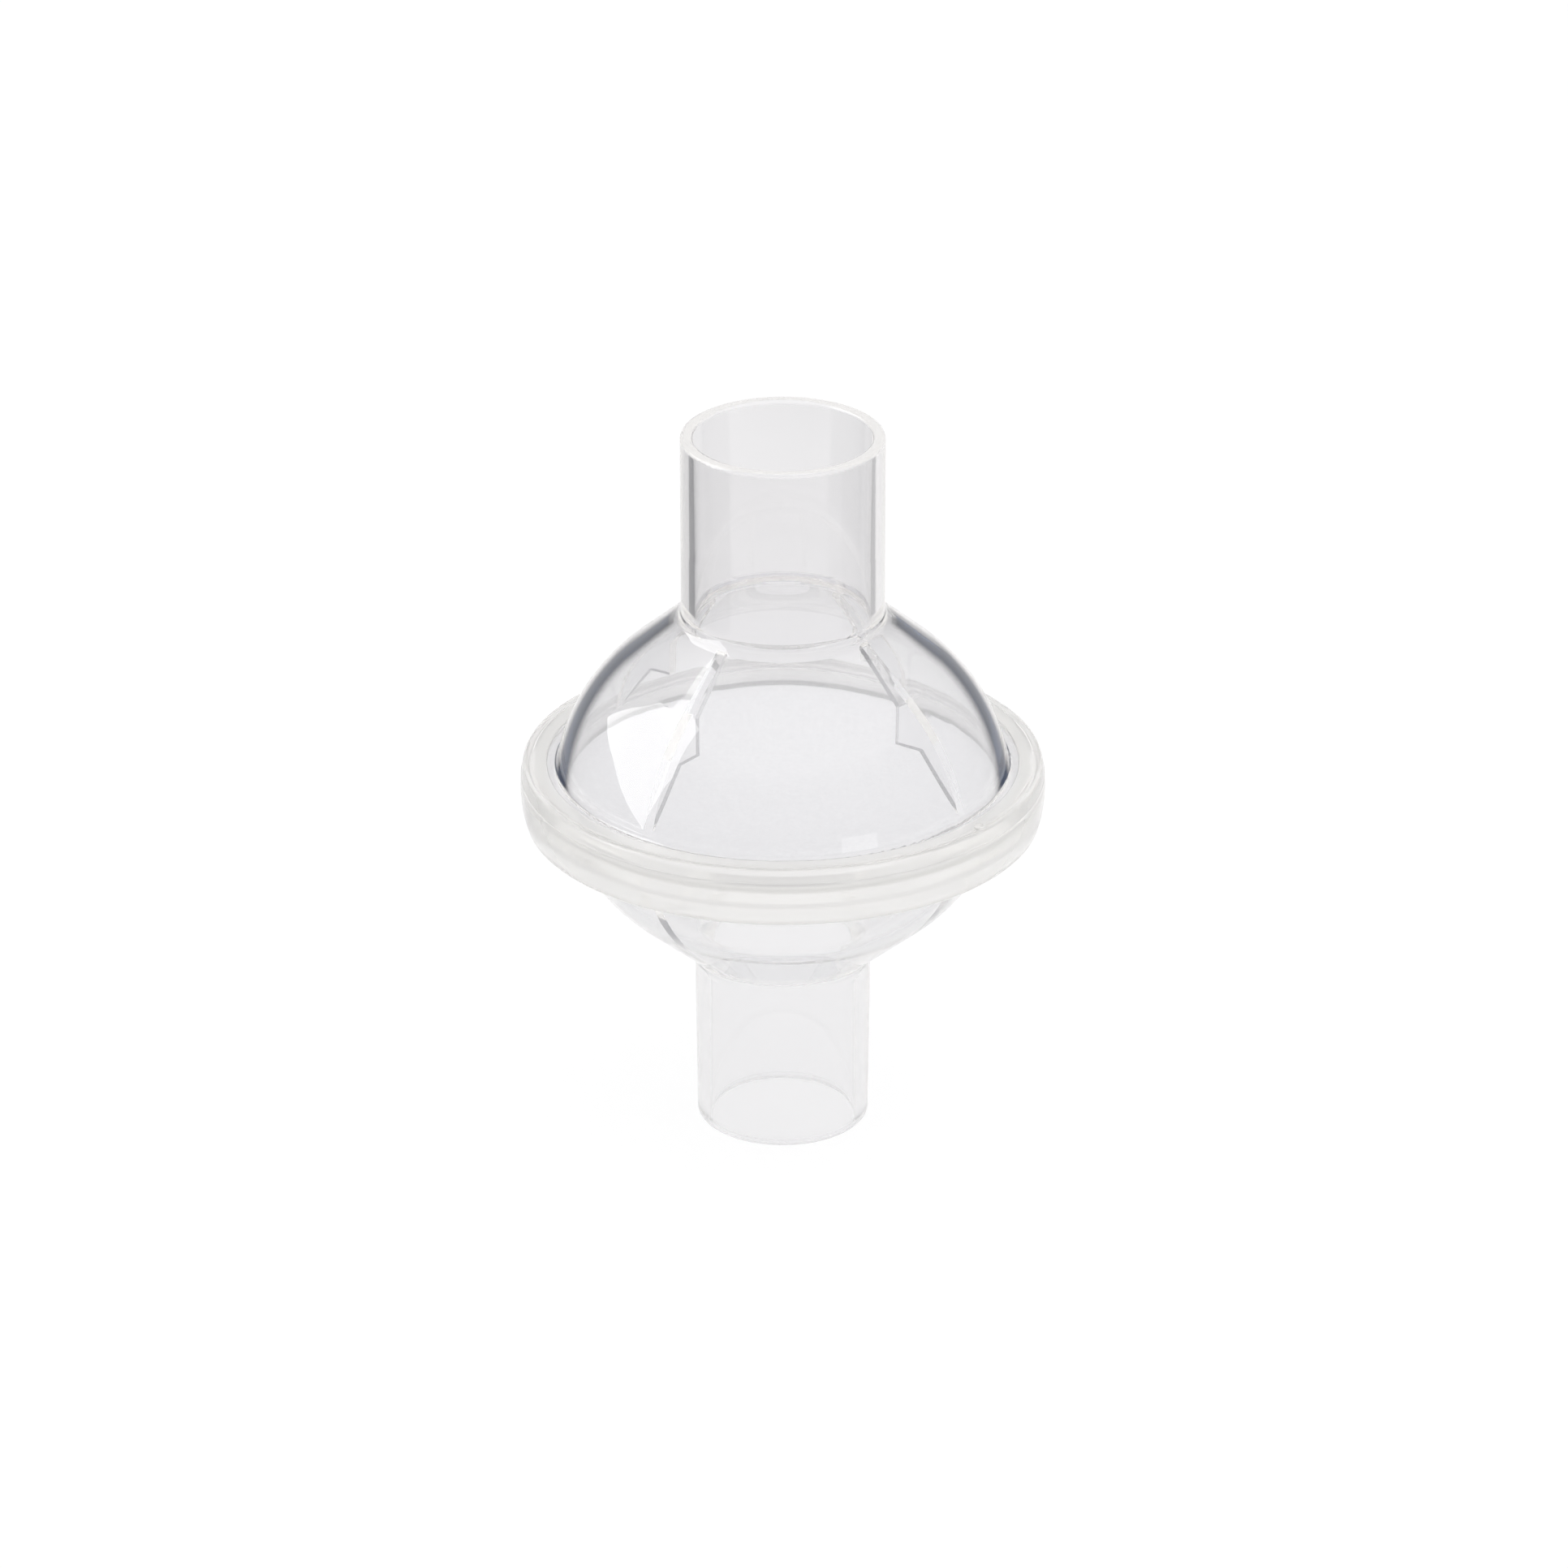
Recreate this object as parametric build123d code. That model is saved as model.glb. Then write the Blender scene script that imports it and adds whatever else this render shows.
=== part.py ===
from build123d import *
from math import asin, cos, degrees, radians, sin, sqrt, tan
import os

# Breathing circuit filter. Two clear shells clamp a round filter disc, and a band moulded
# round their flanges holds them together. Lengths are in mm. The origin is the centre of
# the lower port's end face, and +Z runs along the gas path. The front faces -Y.

# Dome, the same outline in both shells: a conical shoulder that runs into a round belly.
dome_r = 29.2             # radius where the belly would stand upright
belly_arc_r = 25.3        # radius of the belly's arc
belly_drop = 2.8          # the arc's centre lies this far beyond the parting plane
shoulder_angle = 40.3     # slope of the shoulder, degrees
dome_wall = 1.5
port_blend_r = 2.6        # outside blend from shoulder to port
mouth_round_r = 1.4       # inside edge where a port opens into the dome

# Conical 22 mm breathing connectors: their diameters grow by one part in forty.
cone_taper = 1 / 40
rim_round_r = 0.5
tip_round_r = 0.8         # outer edge of the male cone's tip

# Upper port, the socket: a cone at the mouth, then a parallel bore down to the shoulder.
socket_mouth_r = 11.25
socket_wall = 1.55
socket_cone_depth = 15.0
socket_bore_length = 9.1

# Lower port, the male cone. A parallel land at its root stops the hose cuff.
cone_tip_r = 10.95
cone_wall = 1.75
cone_depth = 16.0
cone_land_length = 6.95   # from the cone to the shoulder

# Flanges, and the disc's rim between them.
flange_w = 2.1            # from the belly to the flange's edge
upper_flange_t = 2.15
lower_flange_t = 2.0
flange_blend_r = 0.4
pinched_t = 0.9           # thickness of the disc's rim once clamped

# Filter disc
disc_t = 2.7
disc_rim_inset = 0.8      # from the flanges' edge to the disc's rim
disc_side_gap = 0.25      # from the disc's full-thickness part to the lower shell
disc_shoulder_w = 1.8     # width over which the disc thins towards its clamped rim

# Band moulded round the flanges
band_wall = 1.9           # outside the flanges' edge
band_lip_w = 1.5          # over the flanges' faces
band_upper_lip_t = 0.5
band_lower_lip_t = 2.1
band_crown_drop = 3.4     # from the band's top to its widest circle
band_top_draw = 0.4       # the wall draws in by this much at the top
band_foot_draw = 0.65     # and by this much at the bottom
band_top_round_r = 0.7
band_bottom_round_r = 0.4

# Gate vestige on the band's upper face
gate_r = 0.7
gate_h = 0.35
gate_inset = 1.3          # from the band's outer wall to the gate's centre
gate_angle = 42.0         # from the front, towards +X, degrees

# Fins under each dome: a shallow rib from the port, a deep tab, and a long sloping foot.
fin_count = 4
fin_first_angle = 45.0
fin_t = 1.3
fin_mouth_offset = 0.9    # where the rib starts, outside the port's bore
fin_start_depth = 0.7
fin_rib_depth = 2.1       # depth of the rib where it meets the tab
tab_inner_r = 17.8
tab_w = 3.55
tab_drop = 4.85           # how far the tab reaches below the rib
foot_height = 2.6         # of the fin's outer end over the parting plane

belly_centre_r = dome_r - belly_arc_r
shoulder = radians(shoulder_angle)
flange_r = dome_r + flange_w
disc_rim_r = flange_r - disc_rim_inset


def arc_r(inset):
    """Radius of the belly's arc, taken inset below the dome's outer face."""
    return belly_arc_r - inset


def belly_radius(height, inset=0.0):
    """Distance of the belly from the axis at a height over the parting plane."""
    return belly_centre_r + sqrt(arc_r(inset) ** 2 - (height + belly_drop) ** 2)


def shoulder_height(radius, inset=0.0):
    """Height of the conical shoulder over the parting plane at a distance from the axis."""
    tangent_r = belly_centre_r + arc_r(inset) * sin(shoulder)
    tangent_h = arc_r(inset) * cos(shoulder) - belly_drop
    return tangent_h + (tangent_r - radius) * tan(shoulder)


def belly_arc(height, inset=0.0):
    """The belly, from a height over the parting plane up to where the shoulder begins."""
    start = degrees(asin((height + belly_drop) / arc_r(inset)))
    end = 90 - shoulder_angle
    return CenterArc((belly_centre_r, -belly_drop), arc_r(inset), start, end - start)


def round_corners(profile, corners):
    """Round the profile's corners, each given as its radius, its height and the rounding."""
    for r, h, rounding in corners:
        vertices = sorted(profile.vertices(), key=lambda v: (v.X - r) ** 2 + (v.Y - h) ** 2)
        fillet(vertices[0], rounding)


def revolved_shell(face_h, flange_t, outside, bore, end_round):
    """Port, dome and flange as one turned form, standing on the parting plane.

    face_h is the height of the clamping face. outside and bore list the port's radii and
    heights, from the shoulder to the rim and from the rim to the shoulder. end_round is the
    rounding of the rim's outer edge.
    """
    root_r = outside[0][0]
    mouth_r = bore[-1][0]
    root = (root_r, shoulder_height(root_r))
    mouth = (mouth_r, shoulder_height(mouth_r, dome_wall))
    flange_h = face_h + flange_t
    with BuildPart() as shell:
        with BuildSketch(Plane.XZ) as profile:
            with BuildLine():
                inner = belly_arc(face_h, dome_wall)
                outer = belly_arc(flange_h)
                Polyline(
                    inner @ 0,
                    (flange_r, face_h),
                    (flange_r, flange_h),
                    outer @ 0,
                )
                Polyline(outer @ 1, root, *outside[1:], *bore[:-1], mouth, inner @ 1)
            make_face()
            corners = [
                (*root, port_blend_r),
                (*mouth, mouth_round_r),
                (belly_radius(flange_h), flange_h, flange_blend_r),
                (*outside[-1], end_round),
                (*bore[0], rim_round_r),
            ]
            round_corners(profile, corners)
        revolve(axis=Axis.Z)
    return shell.part


def fins(mouth_r):
    """The fins of one dome. Their roots run along the middle of its wall."""
    half = dome_wall / 2
    start_r = mouth_r + fin_mouth_offset
    rib_start = (start_r, shoulder_height(start_r, dome_wall) - fin_start_depth)
    rib_end = (tab_inner_r, shoulder_height(tab_inner_r, dome_wall) - fin_rib_depth)
    tab_height = rib_end[1] - tab_drop
    with BuildPart() as blades:
        with BuildSketch(Plane.XZ):
            with BuildLine():
                root = belly_arc(foot_height, half)
                Polyline(
                    root @ 1,
                    (start_r, shoulder_height(start_r, half)),
                    rib_start,
                    rib_end,
                    (tab_inner_r, tab_height),
                    (tab_inner_r + tab_w, tab_height),
                    (belly_radius(foot_height, dome_wall), foot_height),
                    root @ 0,
                )
            make_face()
        extrude(amount=fin_t / 2, both=True)
    blade = blades.part
    turn = 360 / fin_count
    return [Rot(0, 0, fin_first_angle + turn * i) * blade for i in range(fin_count)]


def housing(face_h, flange_t, outside, bore, end_round):
    """One shell with its fins, standing on the parting plane."""
    shell = revolved_shell(face_h, flange_t, outside, bore, end_round)
    return shell + fins(bore[-1][0])


def upper_housing():
    """The shell that ends in the socket."""
    outer_r = socket_mouth_r + socket_wall
    bore_r = socket_mouth_r - socket_cone_depth * cone_taper / 2
    rim_h = shoulder_height(outer_r) + socket_bore_length + socket_cone_depth
    outside = [(outer_r, 0), (outer_r, rim_h)]
    bore = [
        (socket_mouth_r, rim_h),
        (bore_r, rim_h - socket_cone_depth),
        (bore_r, 0),
    ]
    return housing(0, upper_flange_t, outside, bore, rim_round_r)


def lower_housing():
    """The shell that ends in the male cone, made upright and then turned over."""
    root_r = cone_tip_r + cone_depth * cone_taper / 2
    bore_r = cone_tip_r - cone_wall
    tip_h = shoulder_height(root_r) + cone_land_length + cone_depth
    outside = [(root_r, 0), (root_r, tip_h - cone_depth), (cone_tip_r, tip_h)]
    bore = [(bore_r, tip_h), (bore_r, 0)]
    shell = housing(pinched_t, lower_flange_t, outside, bore, tip_round_r)
    return mirror(shell, about=Plane.XY), tip_h


def filter_disc():
    """A soft disc, full thickness in the middle and squeezed thin between the flanges."""
    full_r = belly_radius(disc_t, dome_wall) - disc_side_gap
    with BuildPart() as disc:
        with BuildSketch(Plane.XZ):
            with BuildLine():
                Polyline(
                    (0, 0),
                    (disc_rim_r, 0),
                    (disc_rim_r, -pinched_t),
                    (full_r, -pinched_t),
                    (full_r - disc_shoulder_w, -disc_t),
                    (0, -disc_t),
                    close=True,
                )
            make_face()
        revolve(axis=Axis.Z)
    return disc.part


def joining_ring():
    """The band: a thin upper lip, a thick lower lip, and a tongue that meets the disc."""
    upper_face = upper_flange_t
    lower_face = -pinched_t - lower_flange_t
    top = upper_face + band_upper_lip_t
    bottom = lower_face - band_lower_lip_t
    outer_r = flange_r + band_wall
    lip_r = flange_r - band_lip_w
    upper_corner = (outer_r - band_top_draw, top)
    lower_corner = (outer_r - band_foot_draw, bottom)
    with BuildPart() as band:
        with BuildSketch(Plane.XZ) as profile:
            with BuildLine():
                ThreePointArc(upper_corner, (outer_r, top - band_crown_drop), lower_corner)
                Polyline(
                    lower_corner,
                    (lip_r, bottom),
                    (lip_r, lower_face),
                    (flange_r, lower_face),
                    (flange_r, -pinched_t),
                    (disc_rim_r, -pinched_t),
                    (disc_rim_r, 0),
                    (flange_r, 0),
                    (flange_r, upper_face),
                    (lip_r, upper_face),
                    (lip_r, top),
                    upper_corner,
                )
            make_face()
            corners = [
                (*upper_corner, band_top_round_r),
                (*lower_corner, band_bottom_round_r),
            ]
            round_corners(profile, corners)
        revolve(axis=Axis.Z)
        with BuildSketch(Plane.XY.offset(top)):
            with Locations(Rot(0, 0, gate_angle - 90) * Pos(outer_r - gate_inset, 0)):
                Circle(gate_r)
        extrude(amount=gate_h)
    return band.part


os.makedirs("parts", exist_ok=True)

lower, parting_z = lower_housing()
pieces = {
    "upper_housing": upper_housing(),
    "lower_housing": lower,
    "filter_disc": filter_disc(),
    "joining_ring": joining_ring(),
}
for name, piece in pieces.items():
    export_step(Pos(0, 0, parting_z) * piece, f"parts/{name}.step")
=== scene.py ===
import bmesh
import bpy
from math import cos, pi, radians, sin
from mathutils import Matrix, Vector, noise


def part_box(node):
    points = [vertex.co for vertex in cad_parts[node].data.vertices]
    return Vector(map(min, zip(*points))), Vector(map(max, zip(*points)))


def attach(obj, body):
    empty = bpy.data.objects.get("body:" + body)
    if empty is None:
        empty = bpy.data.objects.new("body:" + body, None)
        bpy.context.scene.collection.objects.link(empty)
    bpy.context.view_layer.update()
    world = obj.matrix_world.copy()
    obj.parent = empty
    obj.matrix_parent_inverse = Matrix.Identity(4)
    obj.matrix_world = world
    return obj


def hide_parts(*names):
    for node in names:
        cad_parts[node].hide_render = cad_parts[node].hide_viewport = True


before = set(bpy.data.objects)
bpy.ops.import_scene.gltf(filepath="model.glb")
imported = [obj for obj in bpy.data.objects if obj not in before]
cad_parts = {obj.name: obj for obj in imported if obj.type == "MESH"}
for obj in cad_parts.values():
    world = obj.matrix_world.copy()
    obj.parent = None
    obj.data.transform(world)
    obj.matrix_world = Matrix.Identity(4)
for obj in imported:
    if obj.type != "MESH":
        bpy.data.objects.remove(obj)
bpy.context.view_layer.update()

# Camera. It stands a metre off, so that the view is nearly parallel, and looks down on the
# filter from a little to the left of its front.
view_azimuth = radians(-8.0)
view_elevation = radians(25.19)
view_distance = 1.0
view_target = Vector((0.0, 0.0, 0.04621))
view_reach = 50.0
sideways = 0.00015
focal_px = 9728
frame_px = 1932
sensor_mm = 36.0
turn = Matrix.Rotation(view_azimuth, 4, "Z") @ Matrix.Rotation(pi / 2 - view_elevation, 4, "X")
aim = view_target + turn @ Vector((sideways, 0.0, 0.0))
camera_data = bpy.data.cameras.new("camera")
camera_data.sensor_width = sensor_mm
camera_data.lens = focal_px / frame_px * sensor_mm
camera_data.clip_end = view_reach
camera = bpy.data.objects.new("camera", camera_data)
camera.matrix_world = Matrix.Translation(aim) @ turn @ Matrix.Translation((0, 0, view_distance))
bpy.context.scene.collection.objects.link(camera)
bpy.context.scene.camera = camera
bpy.context.scene.view_settings.view_transform = "Standard"


# Studio. The filter stands on a white sweep that goes on to the horizon, and seen through the
# plastic the sweep is a pale grey. Light that was turned sideways inside a wall comes from the
# dim room past the lit part, or from a darker patch, and draws dark lines in the plastic; on the
# dome these are darkened further by painted shade in the shells' colour.
white = (1.0, 1.0, 1.0, 1.0)
pale = (0.885, 0.88, 0.885, 1.0)
dim = (0.01, 0.015, 0.03, 1.0)
world_light = 0.98
high_in_the_sky = 0.8
low_in_the_sky = 0.5
sweep_size = 6.0
sweep_colour = (0.9, 0.9, 0.9, 1.0)
sweep_glow_share = 0.85
sweep_glow = 1.04
lit_centre = (0.02, 0.02, 0.0)
lit_radius = 0.21
dim_radius = 0.27
left_patch = ((-0.217, 0.086, 0.0), 0.15, 1.0)
right_patch = ((0.214, 0.031, 0.0), 0.12, 0.6)
rear_patch = ((-0.07, 0.19, 0.0), 0.09, 0.4)
patch_fade = 0.01
soft_boxes = [
    ("top_box", 0.7, (0.1, -0.1, 0.8), 1.0),
    ("left_box", 0.4, (-0.5, -0.45, 0.35), 0.5),
    ("right_box", 0.4, (0.55, -0.3, 0.35), 0.5),
]
left_window_x = -0.6
left_window = [(0.56, 0.25), (0.17, 0.86), (-0.07, 0.86), (-0.19, 0.38), (-0.12, 0.03), (0.2, 0.19)]
left_window_glow = 4.0
front_window_y = -0.6
front_window = [(0.22, 0.01), (0.47, 0.01), (0.47, 0.12), (0.22, 0.12)]
front_window_glow = 1.9


def new_material(name):
    """An empty node material, with its tree and its output node."""
    material = bpy.data.materials.new(name)
    material.use_nodes = True
    tree = material.node_tree
    tree.nodes.clear()
    return material, tree, tree.nodes.new("ShaderNodeOutputMaterial")


def maths(tree, operation, a, b=0.0):
    """A maths node on two inputs, each a socket or a number, clamped from 0 to 1."""
    node = tree.nodes.new("ShaderNodeMath")
    node.operation = operation
    node.use_clamp = True
    for socket, value in zip(node.inputs, (a, b)):
        if isinstance(value, (int, float)):
            socket.default_value = value
        else:
            tree.links.new(value, socket)
    return node.outputs[0]


def fade(tree, value, start, end):
    """0 before the start and 1 past the end, and smooth between them."""
    node = tree.nodes.new("ShaderNodeMapRange")
    node.interpolation_type = "SMOOTHSTEP"
    node.inputs["From Min"].default_value = start
    node.inputs["From Max"].default_value = end
    tree.links.new(value, node.inputs["Value"])
    return node.outputs["Result"]


def blend_numbers(tree, factor, first, second):
    """A number on the way from the first to the second."""
    node = tree.nodes.new("ShaderNodeMapRange")
    node.inputs["To Min"].default_value = first
    node.inputs["To Max"].default_value = second
    tree.links.new(factor, node.inputs["Value"])
    return node.outputs["Result"]


def blend_colours(tree, factor, first, second):
    """A colour mix, where each colour is four numbers or a socket."""
    node = tree.nodes.new("ShaderNodeMix")
    node.data_type = "RGBA"
    tree.links.new(factor, node.inputs["Factor"])
    for name, value in (("A", first), ("B", second)):
        if isinstance(value, tuple):
            node.inputs[name].default_value = value
        else:
            tree.links.new(value, node.inputs[name])
    return node.outputs["Result"]


def height_of(tree, place):
    """The upward part of a place."""
    node = tree.nodes.new("ShaderNodeSeparateXYZ")
    tree.links.new(place, node.inputs[0])
    return node.outputs["Z"]


def distance_to(tree, centre):
    """Distance from the shaded point to a place."""
    place = tree.nodes.new("ShaderNodeTexCoord")
    node = tree.nodes.new("ShaderNodeVectorMath")
    node.operation = "DISTANCE"
    node.inputs[1].default_value = centre
    tree.links.new(place.outputs["Object"], node.inputs[0])
    return node.outputs["Value"]


def backdrop(tree, unlit):
    """The backdrop's colour for the ray that meets it, and whether that ray shows it."""
    path = tree.nodes.new("ShaderNodeLightPath")
    glossy = path.outputs["Is Glossy Ray"]
    in_plastic = maths(tree, "MAXIMUM", glossy, path.outputs["Is Transmission Ray"])
    seen = maths(tree, "MAXIMUM", path.outputs["Is Camera Ray"], in_plastic)
    shown = maths(tree, "SUBTRACT", seen, path.outputs["Diffuse Depth"])
    turns = path.outputs["Glossy Depth"]
    turned = maths(tree, "MINIMUM", turns, path.outputs["Transmission Depth"])
    turned = maths(tree, "SUBTRACT", turned, path.outputs["Diffuse Depth"])
    through = blend_colours(tree, maths(tree, "MULTIPLY", turned, unlit), pale, dim)
    return blend_colours(tree, path.outputs["Is Camera Ray"], through, white), shown


def light_the_world():
    """White to the eye and pale in the plastic, and a soft even light elsewhere."""
    world = bpy.data.worlds.new("studio")
    bpy.context.scene.world = world
    world.use_nodes = True
    tree = world.node_tree
    place = tree.nodes.new("ShaderNodeTexCoord")
    height = height_of(tree, place.outputs["Generated"])
    colour, shown = backdrop(tree, fade(tree, height, high_in_the_sky, low_in_the_sky))
    background = tree.nodes["Background"]
    tree.links.new(colour, background.inputs["Color"])
    level = blend_numbers(tree, shown, world_light, 1.0)
    tree.links.new(level, background.inputs["Strength"])


def sweep_material():
    """Matt white. A share of it glows for the rays that show it, and the rest keeps the shadow."""
    material, tree, output = new_material("sweep")
    unlit = fade(tree, distance_to(tree, lit_centre), lit_radius, dim_radius)
    for centre, reach, depth in (left_patch, right_patch, rear_patch):
        on_patch = fade(tree, distance_to(tree, centre), reach, reach - patch_fade)
        unlit = maths(tree, "MAXIMUM", unlit, maths(tree, "MULTIPLY", on_patch, depth))
    colour, shown = backdrop(tree, unlit)
    matt = tree.nodes.new("ShaderNodeBsdfDiffuse")
    matt.inputs["Color"].default_value = sweep_colour
    glow = tree.nodes.new("ShaderNodeEmission")
    glow.inputs["Strength"].default_value = sweep_glow
    tree.links.new(colour, glow.inputs["Color"])
    mix = tree.nodes.new("ShaderNodeMixShader")
    tree.links.new(maths(tree, "MULTIPLY", shown, sweep_glow_share), mix.inputs["Fac"])
    tree.links.new(matt.outputs[0], mix.inputs[1])
    tree.links.new(glow.outputs[0], mix.inputs[2])
    tree.links.new(mix.outputs[0], output.inputs["Surface"])
    return material


def soft_box(name, size, place, watts):
    """A square lamp that looks at the middle of the filter and isn't mirrored in it."""
    data = bpy.data.lights.new(name, "AREA")
    data.size = size
    data.energy = watts
    box = bpy.data.objects.new(name, data)
    box.location = place
    box.rotation_euler = (view_target - Vector(place)).to_track_quat("-Z", "Y").to_euler()
    box.visible_glossy = False
    box.visible_transmission = False
    bpy.context.scene.collection.objects.link(box)


def window(name, corners, strength):
    """A glowing pane that only its mirror image on the plastic shows."""
    mesh = bpy.data.meshes.new(name)
    mesh.from_pydata(corners, [], [list(range(len(corners)))])
    pane = bpy.data.objects.new(name, mesh)
    bpy.context.scene.collection.objects.link(pane)
    material, tree, output = new_material(name)
    glow = tree.nodes.new("ShaderNodeEmission")
    glow.inputs["Strength"].default_value = strength
    tree.links.new(glow.outputs[0], output.inputs["Surface"])
    mesh.materials.append(material)
    pane.visible_camera = False
    pane.visible_diffuse = False
    pane.visible_transmission = False
    pane.visible_shadow = False


light_the_world()
bpy.ops.mesh.primitive_plane_add(size=sweep_size)
sweep = bpy.context.object
sweep.name = "sweep"
sweep.data.materials.append(sweep_material())
for box_name, box_size, box_place, box_watts in soft_boxes:
    soft_box(box_name, box_size, box_place, box_watts)
window("left_window", [(left_window_x, y, z) for y, z in left_window], left_window_glow)
window("front_window", [(x, front_window_y, z) for x, z in front_window], front_window_glow)


# Shells. The two halves of the housing, injection moulded in clear styrene copolymer from
# polished moulds, with fins inside the domes. The walls have a little haze, more in the dome
# than in the ports, and the rounded edges of the ports' rims are a soft matt.
plastic_ior = 1.57
plastic_roughness = 0.03
upper_port_clarity = 0.98
lower_port_clarity = 0.91
dome_clarity = 0.885
blend_inner_r = 0.0131
blend_outer_r = 0.0145
rim_heights = (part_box("lower_housing")[0].z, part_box("upper_housing")[1].z)
rim_reach = 0.0004
rim_fade = 0.0003
rim_haze = 0.35
rim_roughness = 0.2
# How far the wall turns away from the ray where the painted edge shade starts, is full, fades and
# is gone.
edge_shade_starts = 0.58
edge_shade_full = 0.68
edge_shade_fades = 0.78
edge_shade_gone = 0.9
upper_port_clear = (0.932, 0.928, 0.932, 1.0)
upper_dome_clear = (0.955, 0.953, 0.956, 1.0)
# Painted shade for the upper dome's glancing edges, near black.
upper_painted_edge_shade = (0.005, 0.01, 0.03, 1.0)
lower_port_clear = (0.98, 0.979, 0.981, 1.0)
lower_dome_clear = (0.987, 0.986, 0.988, 1.0)
# Painted shade for the lower dome's glancing edges, only a faint grey.
lower_painted_edge_shade = (0.85, 0.855, 0.87, 1.0)
caught_light = (0.84, 0.82, 0.79, 1.0)
turns_before_caught = 2.5
shadow_tint = (0.96, 0.96, 0.965, 1.0)
ripple_scale = 90.0
ripple_height = 0.000004


def from_axis(tree, place):
    """Distance of a place from the filter's axis."""
    flat = tree.nodes.new("ShaderNodeVectorMath")
    flat.operation = "MULTIPLY"
    flat.inputs[1].default_value = (1.0, 1.0, 0.0)
    tree.links.new(place, flat.inputs[0])
    node = tree.nodes.new("ShaderNodeVectorMath")
    node.operation = "LENGTH"
    tree.links.new(flat.outputs["Vector"], node.inputs[0])
    return node.outputs["Value"]


def add_relief(tree, shader, place, scale, height, detail=1.0):
    """A noise bump in the surface's finish, in metres of height."""
    relief = tree.nodes.new("ShaderNodeTexNoise")
    relief.inputs["Scale"].default_value = scale
    relief.inputs["Detail"].default_value = detail
    bump = tree.nodes.new("ShaderNodeBump")
    bump.inputs["Distance"].default_value = height
    tree.links.new(place, relief.inputs["Vector"])
    tree.links.new(relief.outputs["Fac"], bump.inputs["Height"])
    tree.links.new(bump.outputs["Normal"], shader.inputs["Normal"])
    return relief


def on_rim(tree, place):
    """1 on the rounded edges of the two ports' rims."""
    height = height_of(tree, place)
    low, high = rim_heights
    at_tip = fade(tree, height, low + rim_reach + rim_fade, low + rim_reach)
    at_mouth = fade(tree, height, high - rim_reach - rim_fade, high - rim_reach)
    return maths(tree, "MAXIMUM", at_tip, at_mouth)


def painted_edge_mask(tree, outside):
    """Mask of the painted shade: 1 where the first wall that a ray meets turns away from it,
    outside the port.
    """
    facing = tree.nodes.new("ShaderNodeLayerWeight")
    rise = fade(tree, facing.outputs["Facing"], edge_shade_starts, edge_shade_full)
    fall = fade(tree, facing.outputs["Facing"], edge_shade_gone, edge_shade_fades)
    path = tree.nodes.new("ShaderNodeLightPath")
    first_wall = maths(tree, "SUBTRACT", 1.0, path.outputs["Transmission Depth"])
    on_dome = maths(tree, "MULTIPLY", first_wall, outside)
    return maths(tree, "MULTIPLY", on_dome, maths(tree, "MULTIPLY", rise, fall))


def let_light_pass(tree, shader, output, tint):
    """Light passes the plastic to what is inside, and a ray caught in a wall ends as a glow."""
    path = tree.nodes.new("ShaderNodeLightPath")
    hole = tree.nodes.new("ShaderNodeBsdfTransparent")
    hole.inputs["Color"].default_value = tint
    caught = tree.nodes.new("ShaderNodeEmission")
    caught.inputs["Color"].default_value = caught_light
    often = maths(tree, "GREATER_THAN", path.outputs["Glossy Depth"], turns_before_caught)
    inner = tree.nodes.new("ShaderNodeMixShader")
    tree.links.new(often, inner.inputs["Fac"])
    tree.links.new(shader.outputs[0], inner.inputs[1])
    tree.links.new(caught.outputs[0], inner.inputs[2])
    outer = tree.nodes.new("ShaderNodeMixShader")
    lighting = maths(tree, "MAXIMUM", path.outputs["Is Shadow Ray"], path.outputs["Is Diffuse Ray"])
    tree.links.new(lighting, outer.inputs["Fac"])
    tree.links.new(inner.outputs[0], outer.inputs[1])
    tree.links.new(hole.outputs[0], outer.inputs[2])
    tree.links.new(outer.outputs[0], output.inputs["Surface"])


def clear_plastic(name, port_clarity, port_clear, dome_clear, painted_edge_colour):
    """Clear plastic with painted shade at the dome's glancing edges, and the faint ripple of a thin
    moulded wall.
    """
    material, tree, output = new_material(name)
    place = tree.nodes.new("ShaderNodeTexCoord").outputs["Object"]
    shader = tree.nodes.new("ShaderNodeBsdfPrincipled")
    shader.inputs["IOR"].default_value = plastic_ior
    rim = on_rim(tree, place)
    roughness = blend_numbers(tree, rim, plastic_roughness, rim_roughness)
    tree.links.new(roughness, shader.inputs["Roughness"])
    outside = fade(tree, from_axis(tree, place), blend_inner_r, blend_outer_r)
    clarity = blend_numbers(tree, outside, port_clarity, dome_clarity)
    clarity = maths(tree, "SUBTRACT", clarity, maths(tree, "MULTIPLY", rim, rim_haze))
    tree.links.new(clarity, shader.inputs["Transmission Weight"])
    clear = blend_colours(tree, outside, port_clear, dome_clear)
    # Painted shade: the colour goes dark where the dome's wall turns away from the ray.
    tint = blend_colours(tree, painted_edge_mask(tree, outside), clear, painted_edge_colour)
    tree.links.new(tint, shader.inputs["Base Color"])
    add_relief(tree, shader, place, ripple_scale, ripple_height)
    let_light_pass(tree, shader, output, shadow_tint)
    return material


def finish_shell(name, port_clarity, port_clear, dome_clear, painted_edge_colour):
    """Give one shell its plastic."""
    plastic = clear_plastic(name, port_clarity, port_clear, dome_clear, painted_edge_colour)
    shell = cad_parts[name]
    shell.data.materials.clear()
    shell.data.materials.append(plastic)


finish_shell("upper_housing", upper_port_clarity, upper_port_clear, upper_dome_clear, upper_painted_edge_shade)
finish_shell("lower_housing", lower_port_clarity, lower_port_clear, lower_dome_clear, lower_painted_edge_shade)


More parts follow.
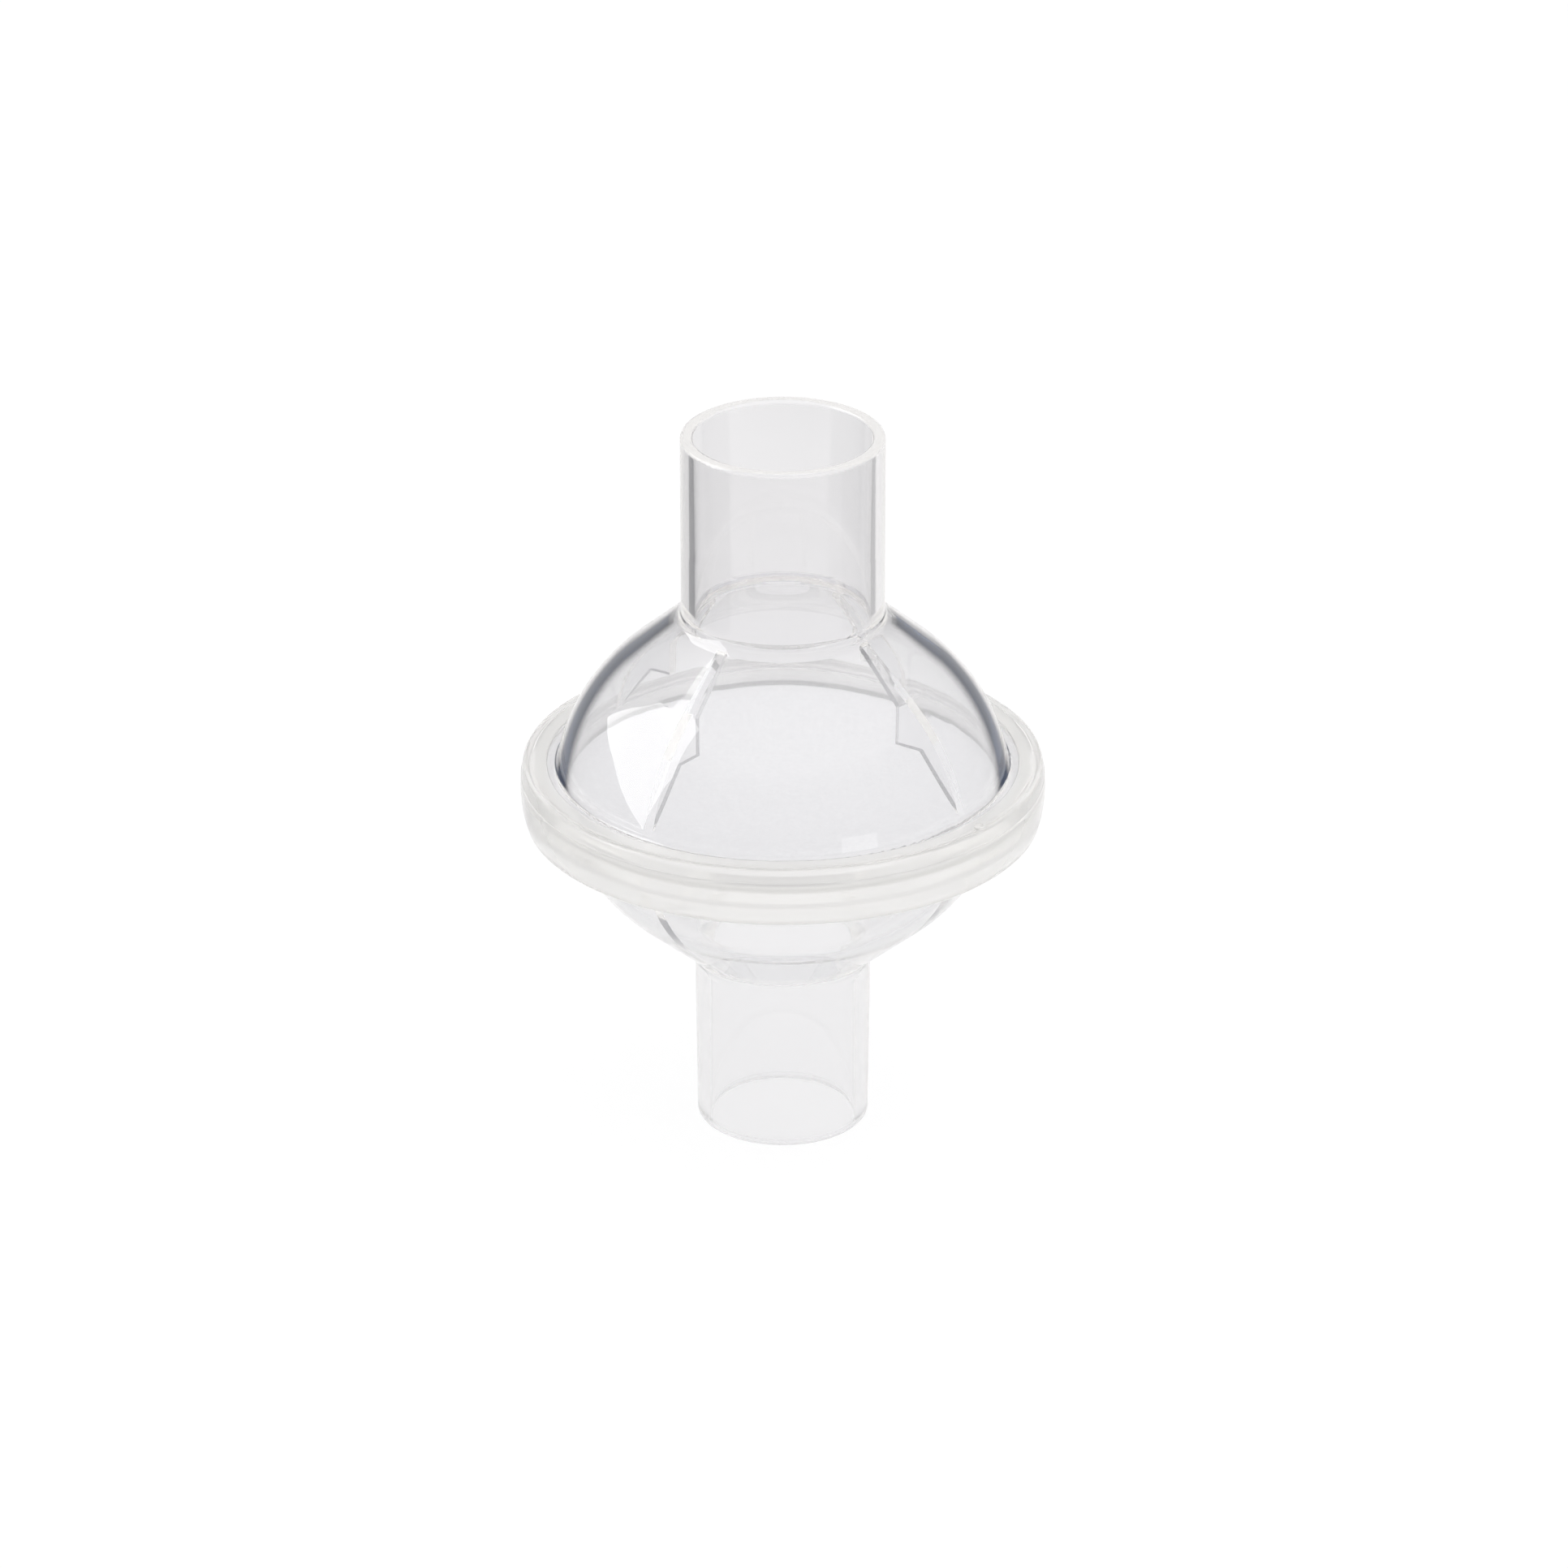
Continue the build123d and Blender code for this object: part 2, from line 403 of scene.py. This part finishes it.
# Joining band. A softer, milky grade of plastic, moulded round the clamped flanges so that the
# filter stays shut. The mould leaves a fine groove beside the outer edge, a raised line round
# the side and a gate mark on top. Heights are in metres from the parting plane.
parting_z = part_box("filter_disc")[1].z
band_low, band_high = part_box("joining_ring")
seat_gap = 0.00003
flange_r = 0.0313
upper_flange_h = 0.00215
lower_flange_h = -0.0029
pinched = 0.0009
pinched_r = 0.0305
lip_r = 0.0298
lip_round = 0.00025
band_top = 0.00265
band_bottom = band_low.z - parting_z
crown_r = band_high.x
crown_h = -0.00075
top_draw = 0.0004
foot_draw = 0.00065
top_round = 0.0009
foot_round = 0.0005
side_steps = 14
groove_r = 0.03195
groove_mouth_half = 0.00033
groove_floor_half = 0.00011
groove_depth = 0.00008
line_h = 0.001
line_half = 0.0001
line_rise = 0.00004
fine_round = 0.00006
corner_steps = 5
band_spokes = 320
gate_r = 0.0319
gate_angle = radians(42.0 - 90.0)
gate_outline = [
    (0.0, 0.0002),
    (0.0003, 0.00022),
    (0.00042, 0.00035),
    (0.0006, 0.00035),
    (0.0007, 0.00027),
    (0.0007, -0.00005),
    (0.0, -0.00005),
]
gate_spokes = 32
weld_reach = 1e-7
sharp_edge = radians(50)
milky_colour = (0.975, 0.97, 0.955, 1.0)
milky_ior = 1.5
milky_clarity = 0.7
milky_roughness = 0.08
milky_shadow_tint = (0.9, 0.9, 0.89, 1.0)
mould_line_scale = 1300.0
mould_line_height = 0.00001


def side_radius(height):
    """Radius of the band's side, which is widest at its crown."""
    top_share = max(0.0, height - crown_h) / (band_top - crown_h)
    foot_share = max(0.0, crown_h - height) / (crown_h - band_bottom)
    return crown_r - top_draw * top_share ** 2 - foot_draw * foot_share ** 2


def band_side():
    """Corners of the band's side from the foot up, with the raised line."""
    corners = []
    for i in range(side_steps + 1):
        height = band_bottom + (band_top - band_bottom) * i / side_steps
        reach = foot_round if i == 0 else top_round if i == side_steps else 0.0
        corners.append((side_radius(height), height, reach))
    for offset, rise in ((-line_half, 0.0), (0.0, line_rise), (line_half, 0.0)):
        corners.append((side_radius(line_h + offset) + rise, line_h + offset, 0.0))
    return sorted(corners, key=lambda corner: corner[1])


def band_section():
    """The band's section as corners, each with how far its rounding reaches."""
    upper_seat = upper_flange_h + seat_gap
    lower_seat = lower_flange_h - seat_gap
    tongue_top = -seat_gap
    tongue_foot = seat_gap - pinched
    return band_side() + [
        (groove_r + groove_mouth_half, band_top, fine_round),
        (groove_r + groove_floor_half, band_top - groove_depth, fine_round),
        (groove_r - groove_floor_half, band_top - groove_depth, fine_round),
        (groove_r - groove_mouth_half, band_top, fine_round),
        (lip_r, band_top, lip_round),
        (lip_r, upper_seat, fine_round),
        (flange_r + seat_gap, upper_seat, fine_round),
        (flange_r + seat_gap, tongue_top, fine_round),
        (pinched_r, tongue_top, fine_round),
        (pinched_r, tongue_foot, fine_round),
        (flange_r + seat_gap, tongue_foot, fine_round),
        (flange_r + seat_gap, lower_seat, fine_round),
        (lip_r, lower_seat, fine_round),
        (lip_r, band_bottom, lip_round),
    ]


def toward(corner, other, reach):
    """The point that far from a corner on the way to another, and at most halfway."""
    way = other - corner
    return corner + way * min(0.5, reach / way.length)


def soften(corners):
    """The outline with each corner turned into a short curve."""
    points = [Vector((r, h)) for r, h, reach in corners]
    outline = []
    for i, point in enumerate(points):
        reach = corners[i][2]
        if reach == 0.0:
            outline.append(point)
            continue
        start = toward(point, points[i - 1], reach)
        end = toward(point, points[(i + 1) % len(points)], reach)
        for j in range(corner_steps + 1):
            t = j / corner_steps
            outline.append(start * (1 - t) ** 2 + point * 2 * t * (1 - t) + end * t ** 2)
    return outline


def turn_outline(mesh, outline, centre, spokes):
    """Turn a closed outline of radii and heights round an upright line through the centre."""
    rows = []
    for r, h in outline:
        row = []
        for j in range(spokes):
            angle = 2 * pi * j / spokes
            place = centre + Vector((r * cos(angle), r * sin(angle), h))
            row.append(mesh.verts.new(place))
        rows.append(row)
    for row, after in zip(rows, rows[1:] + rows[:1]):
        for j in range(spokes):
            k = (j + 1) % spokes
            mesh.faces.new((row[j], row[k], after[k], after[j]))


def add_piece(name, mesh):
    """Put a finished mesh in the scene, facing out and smooth."""
    bmesh.ops.recalc_face_normals(mesh, faces=mesh.faces)
    data = bpy.data.meshes.new(name)
    mesh.to_mesh(data)
    mesh.free()
    data.shade_smooth()
    piece = bpy.data.objects.new(name, data)
    bpy.context.scene.collection.objects.link(piece)
    return piece


def make_band():
    """The band with its gate mark, as one mesh."""
    mesh = bmesh.new()
    turn_outline(mesh, soften(band_section()), Vector((0, 0, parting_z)), band_spokes)
    gate_x = gate_r * cos(gate_angle)
    gate_y = gate_r * sin(gate_angle)
    gate_centre = Vector((gate_x, gate_y, parting_z + band_top))
    turn_outline(mesh, gate_outline, gate_centre, gate_spokes)
    bmesh.ops.remove_doubles(mesh, verts=mesh.verts, dist=weld_reach)
    bare_edges = [edge for edge in mesh.edges if not edge.link_faces]
    bmesh.ops.delete(mesh, geom=bare_edges, context="EDGES")
    moulded = add_piece("moulded_band", mesh)
    moulded.data.set_sharp_from_angle(angle=sharp_edge)
    return moulded


def milky_plastic():
    """Satin, half clear plastic with a warm cast and fine lines that run round it."""
    material, tree, output = new_material("milky_band")
    place = tree.nodes.new("ShaderNodeTexCoord").outputs["Object"]
    shader = tree.nodes.new("ShaderNodeBsdfPrincipled")
    shader.inputs["Base Color"].default_value = milky_colour
    shader.inputs["IOR"].default_value = milky_ior
    shader.inputs["Transmission Weight"].default_value = milky_clarity
    shader.inputs["Roughness"].default_value = milky_roughness
    section = tree.nodes.new("ShaderNodeCombineXYZ")
    tree.links.new(from_axis(tree, place), section.inputs["X"])
    tree.links.new(height_of(tree, place), section.inputs["Z"])
    add_relief(tree, shader, section.outputs[0], mould_line_scale, mould_line_height)
    let_light_pass(tree, shader, output, milky_shadow_tint)
    return material


band = make_band()
band.data.materials.append(milky_plastic())
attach(band, "root")
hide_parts("joining_ring")


# Filter disc. A soft nonwoven pad of fine white fibres, cut round and clamped by its rim
# between the two flanges, so that it thins to a flat edge all round.
disc_low, disc_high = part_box("filter_disc")
pad_radius = disc_high.x - seat_gap
pad_top = disc_high.z
pad_base = disc_low.z
free_radius = 0.0275
shoulder_width = 0.0022
crown = 0.0002
pad_rings = 70
pad_spokes = 240
broad_lumps = (140, 0.3, 0.00005)
fine_lumps = (600, 1.7, 0.00002)
fibre_scale = 1800.0
fibre_height = 0.00004
fibre_detail = 4.0
fibre_roughness = 0.9
fibre_fuzz = 0.2
fibre_shades = [(0.3, (0.82, 0.82, 0.83, 1.0)), (0.7, (0.9, 0.9, 0.905, 1.0))]


def pad_half(side):
    """Radius and height of the pad's upper or lower skin, from the middle to the rim."""
    rim = pad_top - seat_gap if side > 0 else pad_top - pinched + seat_gap
    middle = pad_top + crown if side > 0 else pad_base
    points = []
    for i in range(pad_rings + 1):
        radius = pad_radius * i / pad_rings
        rise = min(1.0, max(0.0, (free_radius - radius) / shoulder_width))
        rise = rise * rise * (3 - 2 * rise)
        points.append((radius, rim + (middle - rim) * rise))
    return points


def fibre_lumps(x, y):
    """Height of the uneven lay of the fibres at a point of the pad."""
    height = 0.0
    for scale, layer, rise in (broad_lumps, fine_lumps):
        height += rise * noise.noise(Vector((x * scale, y * scale, layer)))
    return height


def make_pad():
    """Both skins of the pad, joined at the rim."""
    mesh = bmesh.new()
    rims = []
    for side in (1, -1):
        rows = []
        for radius, height in pad_half(side):
            row = []
            count = 1 if radius == 0 else pad_spokes
            for j in range(count):
                angle = 2 * pi * j / pad_spokes
                x, y = radius * cos(angle), radius * sin(angle)
                free = 1.0 if radius < free_radius else 0.0
                row.append(mesh.verts.new((x, y, height + side * free * fibre_lumps(x, y))))
            rows.append(row)
        for inner, outer in zip(rows, rows[1:]):
            for j in range(pad_spokes):
                k = (j + 1) % pad_spokes
                corners = [inner[0]] if len(inner) == 1 else [inner[j], inner[k]]
                corners += [outer[k], outer[j]]
                mesh.faces.new(corners if side < 0 else corners[::-1])
        rims.append(rows[-1])
    upper_rim, lower_rim = rims
    for j in range(pad_spokes):
        k = (j + 1) % pad_spokes
        mesh.faces.new([upper_rim[j], upper_rim[k], lower_rim[k], lower_rim[j]])
    return add_piece("filter_pad", mesh)


def nonwoven():
    """Matt white fibre fleece, a little mottled, with a soft fuzz."""
    material, tree, output = new_material("filter_media")
    place = tree.nodes.new("ShaderNodeTexCoord").outputs["Object"]
    shader = tree.nodes.new("ShaderNodeBsdfPrincipled")
    shader.inputs["Roughness"].default_value = fibre_roughness
    shader.inputs["Sheen Weight"].default_value = fibre_fuzz
    fibres = add_relief(tree, shader, place, fibre_scale, fibre_height, fibre_detail)
    ramp = tree.nodes.new("ShaderNodeValToRGB")
    for element, (position, colour) in zip(ramp.color_ramp.elements, fibre_shades):
        element.position = position
        element.color = colour
    tree.links.new(fibres.outputs["Fac"], ramp.inputs["Fac"])
    tree.links.new(ramp.outputs["Color"], shader.inputs["Base Color"])
    tree.links.new(shader.outputs[0], output.inputs["Surface"])
    return material


pad = make_pad()
pad.data.materials.append(nonwoven())
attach(pad, "root")
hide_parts("filter_disc")
